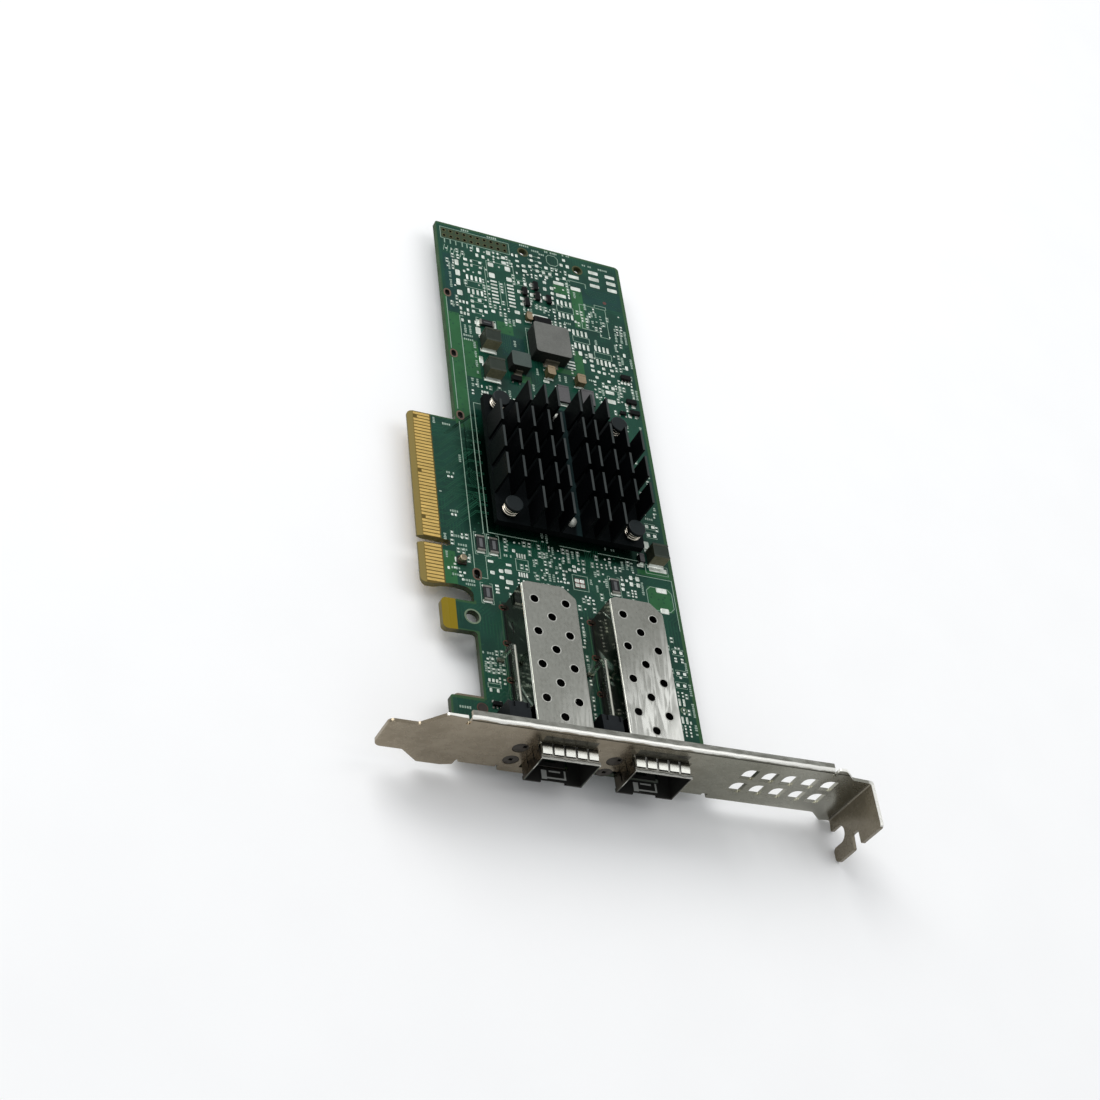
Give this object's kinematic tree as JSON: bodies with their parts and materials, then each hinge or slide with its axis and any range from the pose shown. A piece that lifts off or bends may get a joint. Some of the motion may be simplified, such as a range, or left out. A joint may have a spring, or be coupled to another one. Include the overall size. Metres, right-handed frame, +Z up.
{
  "type": "network interface card",
  "caption": "Half-length server network card with pluggable-module cages, pin-fin heatsink, light pipes and a full-height steel slot bracket.",
  "frame": {"origin": "bottom centre of the bounding box", "axes": "+Z up from the board's component side, +Y along the card from the slot bracket to the far end, +X from the edge connector toward the bracket's screw tab"},
  "size_m": [0.1202, 0.1788, 0.0224],
  "materials": {
    "laminate": "satin dark green solder mask over glass laminate",
    "gold": "gold plated contacts",
    "bracket_steel": "satin plated steel sheet",
    "rivet_steel": "plated steel",
    "cage_metal": "bright rolled sheet",
    "collar_metal": "bright spring sheet",
    "black_plastic": "black moulded",
    "holder_plastic": "dark blue-grey moulded",
    "clear_plastic": "clear polished light guide",
    "lamp_resin": "pale diffusing resin",
    "black_anodised": "matte black anodised",
    "pad_rubber": "grey heat-conducting pad",
    "pin_plastic": "black moulded",
    "spring_steel": "bright wire",
    "stud_metal": "bright turned",
    "inductor_grey": "pressed powder, dark grey",
    "tinned": "tinned",
    "ceramic_grey": "fired ceramic, warm grey",
    "ceramic_tan": "fired ceramic, tan",
    "ferrite_grey": "fired ferrite, grey",
    "resistor_grey": "dark glazed",
    "can_metal": "bright drawn can"
  },
  "bodies": {
    "root": {"circuit_board": "laminate", "edge_contacts_component_side": "gold", "edge_contacts_solder_side": "gold", "slot_bracket": "bracket_steel", "bracket_rivets": "rivet_steel", "module_cage_left": "cage_metal", "module_cage_right": "cage_metal", "cage_collar_left": "collar_metal", "cage_collar_right": "collar_metal", "host_connector_left": "black_plastic", "host_connector_right": "black_plastic", "light_pipe_holder_left": "holder_plastic", "light_pipe_holder_right": "holder_plastic", "light_pipes_left": "clear_plastic", "light_pipes_right": "clear_plastic", "status_lamps": "lamp_resin", "heatsink": "black_anodised", "thermal_pad": "pad_rubber", "controller_chip": "black_plastic", "push_pins": "pin_plastic", "push_pin_springs": "spring_steel", "heatsink_studs": "stud_metal", "large_inductor_body": "inductor_grey", "large_inductor_terminals": "tinned", "small_inductor_body": "inductor_grey", "small_inductor_terminals": "tinned", "block_capacitor_bodies": "ceramic_grey", "block_capacitor_end_caps": "tinned", "tan_capacitor_bodies": "ceramic_tan", "tan_capacitor_end_caps": "tinned", "ferrite_bodies": "ferrite_grey", "ferrite_end_caps": "tinned", "flat_resistor_bodies": "resistor_grey", "flat_resistor_end_caps": "tinned", "transistor_bodies": "black_plastic", "transistor_leads": "tinned", "power_transistor_body": "black_plastic", "power_transistor_leads": "tinned", "can_capacitor_case": "can_metal", "can_capacitor_base": "black_plastic", "solder_side_capacitor_bodies": "ceramic_tan", "solder_side_capacitor_end_caps": "tinned"}
  },
  "joints": []
}
